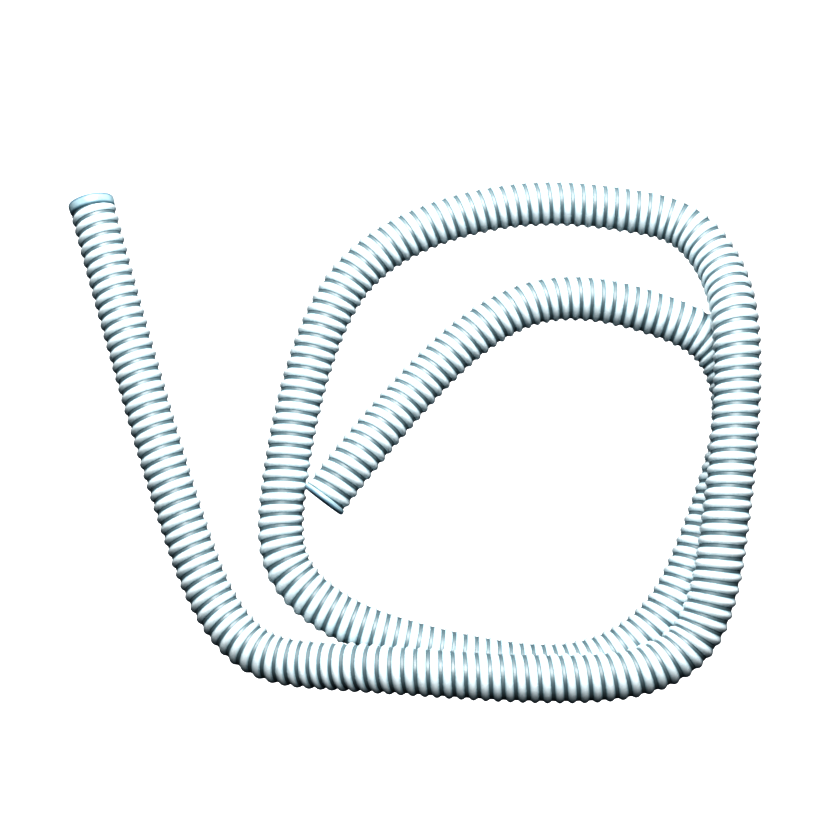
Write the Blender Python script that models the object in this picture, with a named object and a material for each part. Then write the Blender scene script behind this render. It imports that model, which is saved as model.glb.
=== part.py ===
"""Spiral-ribbed vacuum hose for a pool or spa, lying in a loose loop and three quarters.

Metres, +Z up. The floor is z = 0 and the origin is on it, under the middle of the laid hose.
The hose is a soft inner wall, a stiff rib wound round it, and a sealed band at each end.
The rib's turns are one plain sleeve here, with their true outer and inner radius.
"""
import math

import bmesh
import bpy
import numpy as np
from mathutils import Matrix, Vector

# Driving dimensions
HOSE_RADIUS = 0.022         # over the ribs: 44 mm outside
BORE_RADIUS = 0.019         # 38 mm (1 1/2 in) bore
WALL_THICKNESS = 0.0012
FIT_GAP = 0.0003            # clearance between neighbouring pieces
LIP_THICKNESS = 0.0018      # rim of an end band, over the wall's cut edge
LONG_BAND_LENGTH = 0.0100   # band on the first end
SHORT_BAND_LENGTH = 0.0050  # band on the last end

WALL_RADIUS = BORE_RADIUS + WALL_THICKNESS
SLEEVE_RADIUS = WALL_RADIUS + FIT_GAP
WALL_INSET = LIP_THICKNESS + FIT_GAP

# Facets
SWEEP_SIDES = 12
SWEEP_STATIONS = 74
BAND_SIDES = 24
CURVE_STEPS = 3000
BEND_WEIGHT = 0.060         # metres of length that one radian of bend counts for

# Where the hose lies, from its first end to its last: x, y, and the height of its
# underside above the floor. It crosses over its own first turn along the low-y side
# and along the high-x side, and its last end leans on the shoulder of the turn beside it.
ROUTE = [
    (-0.310, 0.228, 0.000),
    (-0.292, 0.167, 0.000),
    (-0.249, 0.027, 0.000),
    (-0.206, -0.101, 0.000),
    (-0.179, -0.161, 0.0015),
    (-0.139, -0.203, 0.008),
    (-0.082, -0.215, 0.020),
    (-0.010, -0.219, 0.0385),
    (0.066, -0.224, 0.044),
    (0.144, -0.226, 0.045),
    (0.211, -0.218, 0.042),
    (0.252, -0.194, 0.0385),
    (0.271, -0.158, 0.0405),
    (0.283, -0.103, 0.0445),
    (0.301, 0.041, 0.0455),
    (0.302, 0.103, 0.041),
    (0.294, 0.157, 0.021),
    (0.264, 0.202, 0.005),
    (0.212, 0.219, 0.0005),
    (0.146, 0.226, 0.000),
    (0.072, 0.219, 0.000),
    (-0.056, 0.150, 0.000),
    (-0.087, 0.090, 0.000),
    (-0.106, 0.022, 0.000),
    (-0.118, -0.054, 0.000),
    (-0.113, -0.124, 0.000),
    (-0.071, -0.167, 0.000),
    (-0.005, -0.194, 0.000),
    (0.081, -0.213, 0.000),
    (0.161, -0.214, 0.000),
    (0.231, -0.175, 0.000),
    (0.270, -0.109, 0.000),
    (0.297, -0.037, 0.000),
    (0.309, 0.027, 0.000),
    (0.289, 0.086, 0.000),
    (0.239, 0.115, 0.000),
    (0.125, 0.128, 0.0009),
    (-0.006, 0.028, 0.0062),
    (-0.052, -0.029, 0.0175),
    (-0.080, -0.066, 0.019),
]


def smooth_curve(points, steps):
    """Points along the natural cubic spline through a route's own points."""
    points = np.array(points, dtype=float)
    chords = np.linalg.norm(np.diff(points, axis=0), axis=1)
    knots = np.concatenate([[0.0], np.cumsum(chords)])
    count = len(points)
    matrix = np.eye(count)
    slopes = np.diff(points, axis=0) / chords[:, None]
    right_side = np.zeros((count, 3))
    for i in range(1, count - 1):
        matrix[i, i - 1:i + 2] = chords[i - 1], 2 * (chords[i - 1] + chords[i]), chords[i]
        right_side[i] = 6 * (slopes[i] - slopes[i - 1])
    bends = np.linalg.solve(matrix, right_side)
    values = np.linspace(0.0, knots[-1], steps)
    spans = np.clip(np.searchsorted(knots, values, side="right") - 1, 0, count - 2)
    width = chords[spans][:, None]
    after = values[:, None] - knots[spans][:, None]
    before = width - after
    cubic = (bends[spans] * before ** 3 + bends[spans + 1] * after ** 3) / (6 * width)
    start = (points[spans] / width - bends[spans] * width / 6) * before
    end = (points[spans + 1] / width - bends[spans + 1] * width / 6) * after
    return cubic + start + end


def centreline():
    """The hose's middle as dense points, with the length from the first end to each."""
    middle = [(x, y, underside + HOSE_RADIUS) for x, y, underside in ROUTE]
    curve = smooth_curve(middle, CURVE_STEPS)
    steps = np.linalg.norm(np.diff(curve, axis=0), axis=1)
    return curve, np.concatenate([[0.0], np.cumsum(steps)])


def point_at(curve, lengths, where):
    return np.stack([np.interp(where, lengths, curve[:, axis]) for axis in range(3)], axis=-1)


def all_stations(curve, lengths):
    """Lengths at which the sweeps have a ring, closer together where the hose bends.

    The wall and the rib share them, so that their facets stay parallel.
    """
    tangents = np.gradient(curve, lengths, axis=0)
    turning = np.linalg.norm(np.diff(tangents, axis=0), axis=1)
    weights = np.concatenate([[0.0], np.cumsum(np.diff(lengths) + BEND_WEIGHT * turning)])
    even = np.linspace(0.0, weights[-1], SWEEP_STATIONS)
    inside = np.interp(even[1:-1], weights, lengths)
    wall_start, wall_end = WALL_INSET, lengths[-1] - WALL_INSET
    rib_start, rib_end = rib_span(lengths)
    return np.concatenate([[wall_start, rib_start], inside, [rib_end, wall_end]])


def rib_span(lengths):
    """Where the rib starts and ends, between the two end bands."""
    return LONG_BAND_LENGTH + FIT_GAP, lengths[-1] - SHORT_BAND_LENGTH - FIT_GAP


def ring(centre, tangent, radius, sides):
    """A ring of points square to the tangent, counted round it from the side."""
    side = np.cross(tangent, (0.0, 0.0, 1.0))
    side /= np.linalg.norm(side)
    up = np.cross(side, tangent)
    angles = np.arange(sides) * 2 * math.pi / sides
    return [centre + radius * (math.cos(a) * side + math.sin(a) * up) for a in angles]


def new_object(name, bm, colour, roughness):
    bmesh.ops.recalc_face_normals(bm, faces=bm.faces)
    mesh = bpy.data.meshes.new(name)
    bm.to_mesh(mesh)
    bm.free()
    mesh.shade_smooth()
    mesh.set_sharp_from_angle(angle=math.radians(40))
    obj = bpy.data.objects.new(name, mesh)
    bpy.context.scene.collection.objects.link(obj)
    material = bpy.data.materials.new(name)
    material.use_nodes = True
    shader = material.node_tree.nodes["Principled BSDF"]
    shader.inputs["Base Color"].default_value = (*colour, 1.0)
    shader.inputs["Roughness"].default_value = roughness
    shader.inputs["Metallic"].default_value = 0.0
    mesh.materials.append(material)
    return obj


def bridge(bm, first, second):
    count = len(first)
    for i in range(count):
        j = (i + 1) % count
        bm.faces.new((first[i], first[j], second[j], second[i]))


def swept_tube(name, start, end, outer, inner, colour, roughness):
    """A hollow tube along the hose, from one of its stations to another."""
    curve, lengths = centreline()
    stations = all_stations(curve, lengths)
    stations = stations[(stations >= start) & (stations <= end)]
    centres = point_at(curve, lengths, stations)
    directions = point_at(np.gradient(curve, lengths, axis=0), lengths, stations)
    bm = bmesh.new()
    rings = {}
    for radius in (outer, inner):
        rings[radius] = []
        for centre, direction in zip(centres, directions):
            points = ring(centre, direction / np.linalg.norm(direction), radius, SWEEP_SIDES)
            rings[radius].append([bm.verts.new(point) for point in points])
        for here, ahead in zip(rings[radius], rings[radius][1:]):
            bridge(bm, here, ahead)
    for end_index in (0, -1):
        bridge(bm, rings[outer][end_index], rings[inner][end_index])
    return new_object(name, bm, colour, roughness)


def end_band(name, length, at_first_end, colour, roughness):
    """A turned band over one end of the wall, with a lip over the wall's cut edge."""
    profile = [
        (BORE_RADIUS, 0.0),
        (HOSE_RADIUS, 0.0),
        (HOSE_RADIUS, length),
        (SLEEVE_RADIUS, length),
        (SLEEVE_RADIUS, LIP_THICKNESS),
        (BORE_RADIUS, LIP_THICKNESS),
    ]
    bm = bmesh.new()
    verts = [bm.verts.new((radius, 0.0, height)) for radius, height in profile]
    edges = [bm.edges.new((verts[i], verts[(i + 1) % len(verts)])) for i in range(len(verts))]
    bmesh.ops.spin(bm, geom=verts + edges, cent=(0, 0, 0), axis=(0, 0, 1),
                   angle=2 * math.pi, steps=BAND_SIDES, use_merge=True)
    bmesh.ops.remove_doubles(bm, verts=bm.verts, dist=0.00001)
    curve, lengths = centreline()
    tangents = np.gradient(curve, lengths, axis=0)
    if at_first_end:
        centre, inward = curve[0], tangents[0]
    else:
        centre, inward = curve[-1], -tangents[-1]
    inward = Vector(inward).normalized()
    side = inward.cross(Vector((0, 0, 1))).normalized()
    up = side.cross(inward)
    turn = Matrix((side, up, -inward)).transposed()
    bmesh.ops.transform(bm, matrix=Matrix.Diagonal((1, 1, -1, 1)), verts=bm.verts)
    obj = new_object(name, bm, colour, roughness)
    obj.matrix_world = Matrix.Translation(centre) @ turn.to_4x4()
    return obj


for old in list(bpy.data.objects):
    bpy.data.objects.remove(old, do_unlink=True)

WHITE = (0.86, 0.89, 0.90)
PALE_BLUE = (0.55, 0.68, 0.72)
PALE_CYAN = (0.70, 0.82, 0.86)

hose_lengths = centreline()[1]
swept_tube("inner_wall", 0.0, hose_lengths[-1], WALL_RADIUS, BORE_RADIUS, PALE_BLUE, 0.35)
swept_tube("rib_winding", *rib_span(hose_lengths), HOSE_RADIUS, SLEEVE_RADIUS, WHITE, 0.28)
end_band("end_band_long", LONG_BAND_LENGTH, True, PALE_CYAN, 0.35)
end_band("end_band_short", SHORT_BAND_LENGTH, False, PALE_CYAN, 0.35)
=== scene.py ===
import math

import bmesh
import bpy
import numpy as np
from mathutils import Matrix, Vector


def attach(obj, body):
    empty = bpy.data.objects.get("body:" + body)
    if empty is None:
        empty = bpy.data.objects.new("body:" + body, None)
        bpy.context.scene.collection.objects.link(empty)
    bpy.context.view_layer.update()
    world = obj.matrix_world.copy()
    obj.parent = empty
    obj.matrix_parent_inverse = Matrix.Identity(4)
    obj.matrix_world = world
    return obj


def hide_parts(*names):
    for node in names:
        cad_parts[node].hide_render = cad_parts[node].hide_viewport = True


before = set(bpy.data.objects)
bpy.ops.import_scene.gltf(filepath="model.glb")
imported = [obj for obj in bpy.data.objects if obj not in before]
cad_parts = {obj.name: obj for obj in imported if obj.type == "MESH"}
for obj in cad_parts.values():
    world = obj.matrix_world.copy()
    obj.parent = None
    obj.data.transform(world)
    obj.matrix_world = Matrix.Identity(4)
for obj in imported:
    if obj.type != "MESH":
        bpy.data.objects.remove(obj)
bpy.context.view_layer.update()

# A spiral-ribbed pool vacuum hose, lying in a loop and three quarters and seen from above.
# The rib, the film and the two end bands are detailed pieces that replace the CAD nodes.

# ---------------------------------------------------------------- dimensions, metres
HOSE_RADIUS = 0.022         # over the ribs
BORE_RADIUS = 0.019
FILM_RADIUS = 0.0198        # outside of the film, between the ribs
FILM_INSET = 0.0016         # from the hose's ends to the film's cut edges, inside the lips
LONG_BAND_LENGTH = 0.0100   # band on the first end
SHORT_BAND_LENGTH = 0.0050  # band on the last end
BAND_GAP = 0.0002           # clearance between a band and the rib
PITCH = 0.01075             # from one turn of the rib to the next
RIB_HALF_WIDTH = 0.0042
RIB_END_OVERRUN = 0.8       # half widths that the rib runs past a band's edge, before clipping
FLOOR_HALF = 9.0            # half the side of the square floor
MERGE_DISTANCE = 1e-7

# Winding and facets
HELIX_TURN = -1.0           # sense of the angle along the hose; -1 is a right-hand helix
SEGMENTS = 32               # rib rings in one turn
CURVE_STEPS = 6000
FILM_STEP = 0.0036          # metres between the film's rings
FILM_SIDES = 32
BAND_SIDES = 72
SHARP_ANGLE = math.radians(60)

# Factors on a piece's own surface coordinate, before a sine or a colour ramp
DRAWN_LINES = 34.0          # across the rib, whose coordinate runs from -1 to 1
FILM_PUCKERS = 46.0         # round the film, whose coordinate is an angle
BAND_RAMP_SCALE = 100.0     # along the band, whose ramp ends 10 mm from the rim

# The camera, with its tilt from straight down
CAMERA_PLACE = (0.0045, -0.1818, 1.2867)
CAMERA_TILT = math.radians(9)
CAMERA_LENS = 58.7          # millimetres, as is the sensor's width
SENSOR_WIDTH = 36

# The hose's way, from its first end to its last: x, y and the height of its underside.
# The same points are in part.py. Most plan positions were fitted to the photo by a script
# and rounded to a millimetre; the heights and the last end were set one by one.
ROUTE = [
    (-0.310, 0.228, 0.000),
    (-0.292, 0.167, 0.000),
    (-0.249, 0.027, 0.000),
    (-0.206, -0.101, 0.000),
    (-0.179, -0.161, 0.0015),
    (-0.139, -0.203, 0.008),
    (-0.082, -0.215, 0.020),
    (-0.010, -0.219, 0.0385),
    (0.066, -0.224, 0.044),
    (0.144, -0.226, 0.045),
    (0.211, -0.218, 0.042),
    (0.252, -0.194, 0.0385),
    (0.271, -0.158, 0.0405),
    (0.283, -0.103, 0.0445),
    (0.301, 0.041, 0.0455),
    (0.302, 0.103, 0.041),
    (0.294, 0.157, 0.021),
    (0.264, 0.202, 0.005),
    (0.212, 0.219, 0.0005),
    (0.146, 0.226, 0.000),
    (0.072, 0.219, 0.000),
    (-0.056, 0.150, 0.000),
    (-0.087, 0.090, 0.000),
    (-0.106, 0.022, 0.000),
    (-0.118, -0.054, 0.000),
    (-0.113, -0.124, 0.000),
    (-0.071, -0.167, 0.000),
    (-0.005, -0.194, 0.000),
    (0.081, -0.213, 0.000),
    (0.161, -0.214, 0.000),
    (0.231, -0.175, 0.000),
    (0.270, -0.109, 0.000),
    (0.297, -0.037, 0.000),
    (0.309, 0.027, 0.000),
    (0.289, 0.086, 0.000),
    (0.239, 0.115, 0.000),
    (0.125, 0.128, 0.0009),
    (-0.006, 0.028, 0.0062),
    (-0.052, -0.029, 0.0175),
    (-0.080, -0.066, 0.019),
]


def smooth_curve(points, steps):
    """Points along the natural cubic spline through the route's own points."""
    points = np.array(points, dtype=float)
    chords = np.linalg.norm(np.diff(points, axis=0), axis=1)
    knots = np.concatenate([[0.0], np.cumsum(chords)])
    count = len(points)
    matrix = np.eye(count)
    slopes = np.diff(points, axis=0) / chords[:, None]
    right_side = np.zeros((count, 3))
    for i in range(1, count - 1):
        matrix[i, i - 1:i + 2] = chords[i - 1], 2 * (chords[i - 1] + chords[i]), chords[i]
        right_side[i] = 6 * (slopes[i] - slopes[i - 1])
    bends = np.linalg.solve(matrix, right_side)
    values = np.linspace(0.0, knots[-1], steps)
    spans = np.clip(np.searchsorted(knots, values, side="right") - 1, 0, count - 2)
    width = chords[spans][:, None]
    after = values[:, None] - knots[spans][:, None]
    before = width - after
    cubic = (bends[spans] * before ** 3 + bends[spans + 1] * after ** 3) / (6 * width)
    start = (points[spans] / width - bends[spans] * width / 6) * before
    end = (points[spans + 1] / width - bends[spans + 1] * width / 6) * after
    return cubic + start + end


CURVE = smooth_curve([(x, y, low + HOSE_RADIUS) for x, y, low in ROUTE], CURVE_STEPS)
LENGTHS = np.concatenate([[0.0], np.cumsum(np.linalg.norm(np.diff(CURVE, axis=0), axis=1))])
TANGENTS = np.gradient(CURVE, LENGTHS, axis=0)
HOSE_LENGTH = float(LENGTHS[-1])


def sample(values, where):
    """The curve's values, interpolated at some lengths along it."""
    return np.stack([np.interp(where, LENGTHS, values[:, k]) for k in range(3)], axis=-1)


def on_hose(along, angle, radius):
    """Points at a length along the hose, an angle round it and a distance from its middle."""
    centre = sample(CURVE, along)
    tangent = sample(TANGENTS, along)
    tangent /= np.linalg.norm(tangent, axis=-1, keepdims=True)
    side = np.cross(tangent, (0.0, 0.0, 1.0))
    side /= np.linalg.norm(side, axis=-1, keepdims=True)
    up = np.cross(side, tangent)
    out = np.cos(angle)[..., None] * side + np.sin(angle)[..., None] * up
    return centre + np.asarray(radius)[..., None] * out


def grid_mesh(name, points, uv, caps):
    """A mesh over a grid of points, as a new object; its last column joins its first.

    caps closes its first and last rows. The UV map "hose" holds two surface coordinates for
    the materials to use.
    """
    rows, columns = points.shape[:2]
    verts = points.reshape(-1, 3)
    here = np.arange(rows * columns).reshape(rows, columns)
    beside = np.roll(here, -1, axis=1)
    faces = np.stack([here[:-1], beside[:-1], beside[1:], here[1:]], axis=-1)
    faces = faces.reshape(-1, 4).tolist()
    if caps:
        faces.append(here[0, ::-1].tolist())
        faces.append(here[-1].tolist())
    mesh = bpy.data.meshes.new(name)
    mesh.from_pydata(verts.tolist(), [], faces)
    layer = mesh.uv_layers.new(name="hose")
    loops = np.zeros(len(mesh.loops), np.int32)
    mesh.loops.foreach_get("vertex_index", loops)
    layer.data.foreach_set("uv", uv.reshape(-1, 2)[loops].astype(np.float32).ravel())
    mesh.shade_smooth()
    mesh.update()
    obj = bpy.data.objects.new(name, mesh)
    bpy.context.scene.collection.objects.link(obj)
    return obj


# ---------------------------------------------------------------- the rib
# Its section, from foot to foot: half widths from its middle, and the radius there.
RIB_PROFILE = [
    (-1.00, 0.01975),
    (-0.80, 0.02015),
    (-0.58, 0.02095),
    (-0.30, 0.02170),
    (0.00, 0.02200),
    (0.30, 0.02170),
    (0.58, 0.02095),
    (0.80, 0.02015),
    (1.00, 0.01975),
]
first_edge = LONG_BAND_LENGTH + BAND_GAP
last_edge = HOSE_LENGTH - SHORT_BAND_LENGTH - BAND_GAP
rib_start = first_edge - RIB_END_OVERRUN * RIB_HALF_WIDTH
rib_end = last_edge + RIB_END_OVERRUN * RIB_HALF_WIDTH
steps = int((rib_end - rib_start) / PITCH * SEGMENTS)
winding = np.arange(steps + 1)
rib_along = rib_start + winding * (PITCH / SEGMENTS)
rib_angle = HELIX_TURN * winding * (2 * math.pi / SEGMENTS)
profile = np.array(RIB_PROFILE)
along = rib_along[:, None] + profile[None, :, 0] * RIB_HALF_WIDTH
along = np.clip(along, first_edge, last_edge)
angle = np.repeat(rib_angle[:, None], len(profile), axis=1)
radius = np.repeat(profile[None, :, 1], len(rib_along), axis=0)
rib = grid_mesh(
    "spiral_rib",
    on_hose(along, angle, radius),
    np.stack([along, np.broadcast_to(profile[None, :, 0], along.shape)], axis=-1),
    caps=True,
)

# ---------------------------------------------------------------- the film
film_rings = int(HOSE_LENGTH / FILM_STEP)
film_stations = np.linspace(FILM_INSET, HOSE_LENGTH - FILM_INSET, film_rings)
around = np.linspace(0, 2 * math.pi, FILM_SIDES, endpoint=False)
outer_along, outer_angle = np.meshgrid(film_stations, around, indexing="ij")
film_along = np.concatenate([outer_along, outer_along[::-1], outer_along[:1]])
film_angle = np.concatenate([outer_angle, outer_angle, outer_angle[:1]])
film_radius = np.concatenate([
    np.full(outer_along.shape, FILM_RADIUS),
    np.full(outer_along.shape, BORE_RADIUS),
    np.full(outer_along[:1].shape, FILM_RADIUS),
])
film = grid_mesh(
    "film_wall",
    on_hose(film_along, film_angle, film_radius),
    np.stack([film_along, film_angle], axis=-1),
    caps=False,
)


# ---------------------------------------------------------------- the end bands
def end_band(name, length, at_first_end):
    """A sealed band with a rounded outer rim, its profile given as radius and distance in."""
    profile = [
        (BORE_RADIUS, 0.0014),
        (BORE_RADIUS + 0.0003, 0.0005),
        (BORE_RADIUS + 0.0010, 0.0),
        (HOSE_RADIUS - 0.0014, 0.0),
        (HOSE_RADIUS - 0.0007, 0.0003),
        (HOSE_RADIUS - 0.0002, 0.0010),
        (HOSE_RADIUS, 0.0022),
        (HOSE_RADIUS - 0.0001, length * 0.60),
        (HOSE_RADIUS - 0.0004, length * 0.80),
        (HOSE_RADIUS - 0.0009, length * 0.93),
        (HOSE_RADIUS - 0.0016, length),
        (FILM_RADIUS - 0.0001, length),
        (FILM_RADIUS - 0.0001, 0.0022),
        (BORE_RADIUS, 0.0020),
    ]
    profile = np.array(profile)
    around = np.linspace(0, 2 * math.pi, BAND_SIDES, endpoint=False)
    radius, angle = np.meshgrid(profile[:, 0], around, indexing="xy")
    inward = np.meshgrid(profile[:, 1], around, indexing="xy")[0]
    along = inward if at_first_end else HOSE_LENGTH - inward
    points = on_hose(along, angle, radius)
    points = np.concatenate([points, points[:1]])
    uv = np.stack([inward, angle], axis=-1)
    uv = np.concatenate([uv, uv[:1]])
    return grid_mesh(name, points, uv, caps=False)


band_long = end_band("end_band_first", LONG_BAND_LENGTH, at_first_end=True)
band_short = end_band("end_band_last", SHORT_BAND_LENGTH, at_first_end=False)
pieces = (rib, film, band_long, band_short)

# Seams that meet are merged, and every face turned outwards.
for obj in pieces:
    bm = bmesh.new()
    bm.from_mesh(obj.data)
    bmesh.ops.remove_doubles(bm, verts=bm.verts, dist=MERGE_DISTANCE)
    bmesh.ops.recalc_face_normals(bm, faces=bm.faces)
    bm.to_mesh(obj.data)
    bm.free()
    obj.data.shade_smooth()
for obj in (band_long, band_short):
    obj.data.set_sharp_from_angle(angle=SHARP_ANGLE)


# ---------------------------------------------------------------- materials
def new_material(name):
    """A material with its node tree and its Principled shader."""
    material = bpy.data.materials.new(name)
    material.use_nodes = True
    tree = material.node_tree
    return material, tree, tree.nodes["Principled BSDF"]


def noise(tree, scale, detail):
    """A noise value over the piece's own coordinates."""
    coords = tree.nodes.new("ShaderNodeTexCoord")
    texture = tree.nodes.new("ShaderNodeTexNoise")
    texture.inputs["Scale"].default_value = scale
    texture.inputs["Detail"].default_value = detail
    tree.links.new(coords.outputs["Object"], texture.inputs["Vector"])
    return texture.outputs["Fac"]


def ramp(tree, value, stops):
    """A colour for a value, from (position, colour) stops."""
    node = tree.nodes.new("ShaderNodeValToRGB")
    elements = node.color_ramp.elements
    while len(elements) < len(stops):
        elements.new(0.5)
    for element, (position, colour) in zip(elements, stops):
        element.position = position
        element.color = (*colour, 1)
    tree.links.new(value, node.inputs["Fac"])
    return node.outputs["Color"]


def remap(tree, value, low, high, to_low, to_high):
    """A value carried from one range to another, and held at its ends."""
    node = tree.nodes.new("ShaderNodeMapRange")
    node.inputs["From Min"].default_value = low
    node.inputs["From Max"].default_value = high
    node.inputs["To Min"].default_value = to_low
    node.inputs["To Max"].default_value = to_high
    tree.links.new(value, node.inputs["Value"])
    return node.outputs["Result"]


def arithmetic(tree, operation, *operands):
    """One maths node; each of its operands is a socket or a number."""
    node = tree.nodes.new("ShaderNodeMath")
    node.operation = operation
    for socket, value in zip(node.inputs, operands):
        if isinstance(value, (int, float)):
            socket.default_value = value
        else:
            tree.links.new(value, socket)
    return node.outputs["Value"]


def multiply_colours(tree, first, second):
    """The product of two colours; the Mix node has its colour sockets among others."""
    node = tree.nodes.new("ShaderNodeMix")
    node.data_type = "RGBA"
    node.blend_type = "MULTIPLY"
    node.inputs["Factor"].default_value = 1.0
    colour_inputs = [socket for socket in node.inputs if socket.type == "RGBA"]
    tree.links.new(first, colour_inputs[0])
    tree.links.new(second, colour_inputs[1])
    return next(socket for socket in node.outputs if socket.type == "RGBA")


def hose_coordinates(tree):
    """The two surface coordinates of the piece's UV map."""
    uv = tree.nodes.new("ShaderNodeUVMap")
    uv.uv_map = "hose"
    split = tree.nodes.new("ShaderNodeSeparateXYZ")
    tree.links.new(uv.outputs["UV"], split.inputs["Vector"])
    return split.outputs["X"], split.outputs["Y"]


def show_to_camera(tree, shown, otherwise, surface):
    """Join two shaders to a surface socket: one for the camera's rays, one for all others."""
    chooser = tree.nodes.new("ShaderNodeMixShader")
    rays = tree.nodes.new("ShaderNodeLightPath")
    tree.links.new(rays.outputs["Is Camera Ray"], chooser.inputs["Fac"])
    tree.links.new(otherwise, chooser.inputs[1])
    tree.links.new(shown, chooser.inputs[2])
    tree.links.new(chooser.outputs["Shader"], surface)


def bump(tree, shader, height, strength, distance):
    """Relief on a shader from a height value; distance is in metres."""
    node = tree.nodes.new("ShaderNodeBump")
    node.inputs["Strength"].default_value = strength
    node.inputs["Distance"].default_value = distance
    tree.links.new(height, node.inputs["Height"])
    tree.links.new(node.outputs["Normal"], shader.inputs["Normal"])


# The rib: glossy white, mottled and scuffed, with painted shade darkening it towards its feet, and
# faint lines along it.
rib_white, tree, shader = new_material("rib_white")
across = hose_coordinates(tree)[1]
mottle = ramp(tree, noise(tree, 60, 3), [(0.3, (0.78, 0.88, 0.91)), (0.7, (0.84, 0.92, 0.94))])
scuff = ramp(tree, noise(tree, 420, 5), [(0.28, (0.90, 0.93, 0.94)), (0.42, (1.0, 1.0, 1.0))])
# Painted shade: the rib's colour darkens towards both feet, where the rib meets the film, to stand
# for the shade between the ribs.
foot = ramp(tree, arithmetic(tree, "ABSOLUTE", across), [
    (0.50, (1.0, 1.0, 1.0)),
    (0.72, (0.78, 0.85, 0.87)),
    (0.90, (0.42, 0.53, 0.57)),
    (1.00, (0.18, 0.27, 0.30)),
])
mottle = multiply_colours(tree, mottle, scuff)
tree.links.new(multiply_colours(tree, mottle, foot), shader.inputs["Base Color"])
tree.links.new(remap(tree, noise(tree, 260, 4), 0.3, 0.7, 0.20, 0.30), shader.inputs["Roughness"])
shader.inputs["IOR"].default_value = 1.7
drawn_lines = arithmetic(tree, "SINE", arithmetic(tree, "MULTIPLY", across, DRAWN_LINES))
grain = arithmetic(tree, "MULTIPLY", noise(tree, 900, 3), 1.6)
bump(tree, shader, arithmetic(tree, "ADD", drawn_lines, grain), 0.12, 0.00006)
rib.data.materials.append(rib_white)

# The film: dark grey-teal with a dull sheen, puckered round the hose.
wall_film, tree, shader = new_material("wall_film")
around_hose = hose_coordinates(tree)[1]
mottle = ramp(tree, noise(tree, 90, 3), [
    (0.3, (0.120, 0.175, 0.193)),
    (0.7, (0.160, 0.218, 0.236)),
])
tree.links.new(mottle, shader.inputs["Base Color"])
tree.links.new(remap(tree, noise(tree, 200, 3), 0.3, 0.7, 0.44, 0.52), shader.inputs["Roughness"])
shader.inputs["IOR"].default_value = 1.9
puckers = arithmetic(tree, "SINE", arithmetic(tree, "MULTIPLY", around_hose, FILM_PUCKERS))
weave = arithmetic(tree, "MULTIPLY", noise(tree, 500, 4), 2.0)
bump(tree, shader, arithmetic(tree, "ADD", puckers, weave), 0.10, 0.00008)
film.data.materials.append(wall_film)

# The end bands: grey-cyan, with painted shade at the rim and towards 10 mm in, where the long band
# ends by the rib.
end_plastic, tree, shader = new_material("end_band")
inward = hose_coordinates(tree)[0]
from_rim = arithmetic(tree, "MULTIPLY", inward, BAND_RAMP_SCALE)
# Painted shade: dark at the rim and again towards 10 mm in, where the long band meets the groove
# before the rib.
rim = ramp(tree, from_rim, [
    (0.00, (0.14, 0.23, 0.30)),
    (0.16, (0.22, 0.33, 0.40)),
    (0.30, (0.46, 0.60, 0.65)),
    (0.74, (0.44, 0.58, 0.63)),
    (0.94, (0.16, 0.27, 0.32)),
])
mottle = ramp(tree, noise(tree, 120, 3), [(0.3, (0.84, 0.90, 0.91)), (0.7, (1.0, 1.0, 1.0))])
tree.links.new(multiply_colours(tree, rim, mottle), shader.inputs["Base Color"])
tree.links.new(remap(tree, noise(tree, 240, 4), 0.3, 0.7, 0.26, 0.38), shader.inputs["Roughness"])
bump(tree, shader, noise(tree, 650, 4), 0.15, 0.00010)
band_long.data.materials.append(end_plastic)
band_short.data.materials.append(end_plastic)

# ---------------------------------------------------------------- what rides on what
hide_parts("rib_winding")
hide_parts("inner_wall")
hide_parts("end_band_long")
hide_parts("end_band_short")
for obj in pieces:
    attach(obj, "root")

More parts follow.
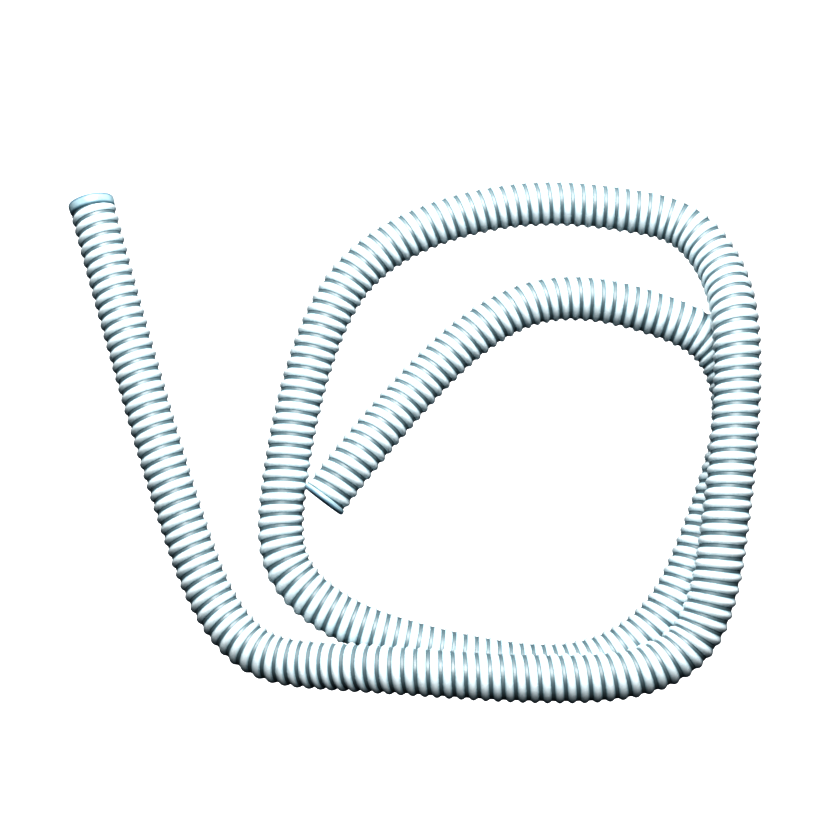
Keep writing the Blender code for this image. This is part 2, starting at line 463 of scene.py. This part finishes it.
# ---------------------------------------------------------------- floor, light, camera
# The floor is white to the camera and dark to every other ray, so it throws little light back.
floor_mesh = bpy.data.meshes.new("floor")
corners = [(x * FLOOR_HALF, y * FLOOR_HALF, 0) for x, y in ((-1, -1), (1, -1), (1, 1), (-1, 1))]
floor_mesh.from_pydata(corners, [], [(0, 1, 2, 3)])
floor = bpy.data.objects.new("floor", floor_mesh)
bpy.context.scene.collection.objects.link(floor)
floor_white, tree, shader = new_material("floor_white")
shader.inputs["Base Color"].default_value = (0.05, 0.065, 0.075, 1)
shader.inputs["Roughness"].default_value = 0.9
shown = tree.nodes.new("ShaderNodeEmission")
shown.inputs["Color"].default_value = (0.985, 0.99, 0.99, 1)
show_to_camera(tree, shown.outputs["Emission"], shader.outputs["BSDF"],
               tree.nodes["Material Output"].inputs["Surface"])
floor_mesh.materials.append(floor_white)

# The studio behind the floor is pale to the camera, and a dim teal fill to everything else.
world = bpy.data.worlds.new("studio")
world.use_nodes = True
tree = world.node_tree
fill = tree.nodes["Background"]
fill.inputs["Color"].default_value = (0.30, 0.72, 1.0, 1)
fill.inputs["Strength"].default_value = 0.014
backdrop = tree.nodes.new("ShaderNodeBackground")
backdrop.inputs["Color"].default_value = (0.93, 0.95, 0.96, 1)
show_to_camera(tree, backdrop.outputs["Background"], fill.outputs["Background"],
               tree.nodes["World Output"].inputs["Surface"])
bpy.context.scene.world = world


def soft_light(name, place, target, width, height, power):
    """A rectangular light at a place, turned to face a target."""
    light = bpy.data.lights.new(name, "AREA")
    light.shape = "RECTANGLE"
    light.size = width
    light.size_y = height
    light.energy = power
    obj = bpy.data.objects.new(name, light)
    obj.location = place
    obj.rotation_euler = (Vector(target) - Vector(place)).to_track_quat("-Z", "Y").to_euler()
    bpy.context.scene.collection.objects.link(obj)


soft_light("key", place=(0.05, 0.80, 1.44), target=(0, 0, 0), width=1.1, height=1.3, power=41)
soft_light("back_panel", place=(0, 2.0, 0.60), target=(0, 0, 0.1), width=2.4, height=1.1, power=11)

camera_data = bpy.data.cameras.new("camera")
camera_data.sensor_width = SENSOR_WIDTH
camera_data.lens = CAMERA_LENS
camera = bpy.data.objects.new("camera", camera_data)
camera.location = CAMERA_PLACE
camera.rotation_euler = (CAMERA_TILT, 0, 0)
bpy.context.scene.collection.objects.link(camera)
bpy.context.scene.camera = camera
bpy.context.scene.view_settings.view_transform = "Standard"
bpy.context.scene.view_settings.look = "Very High Contrast"
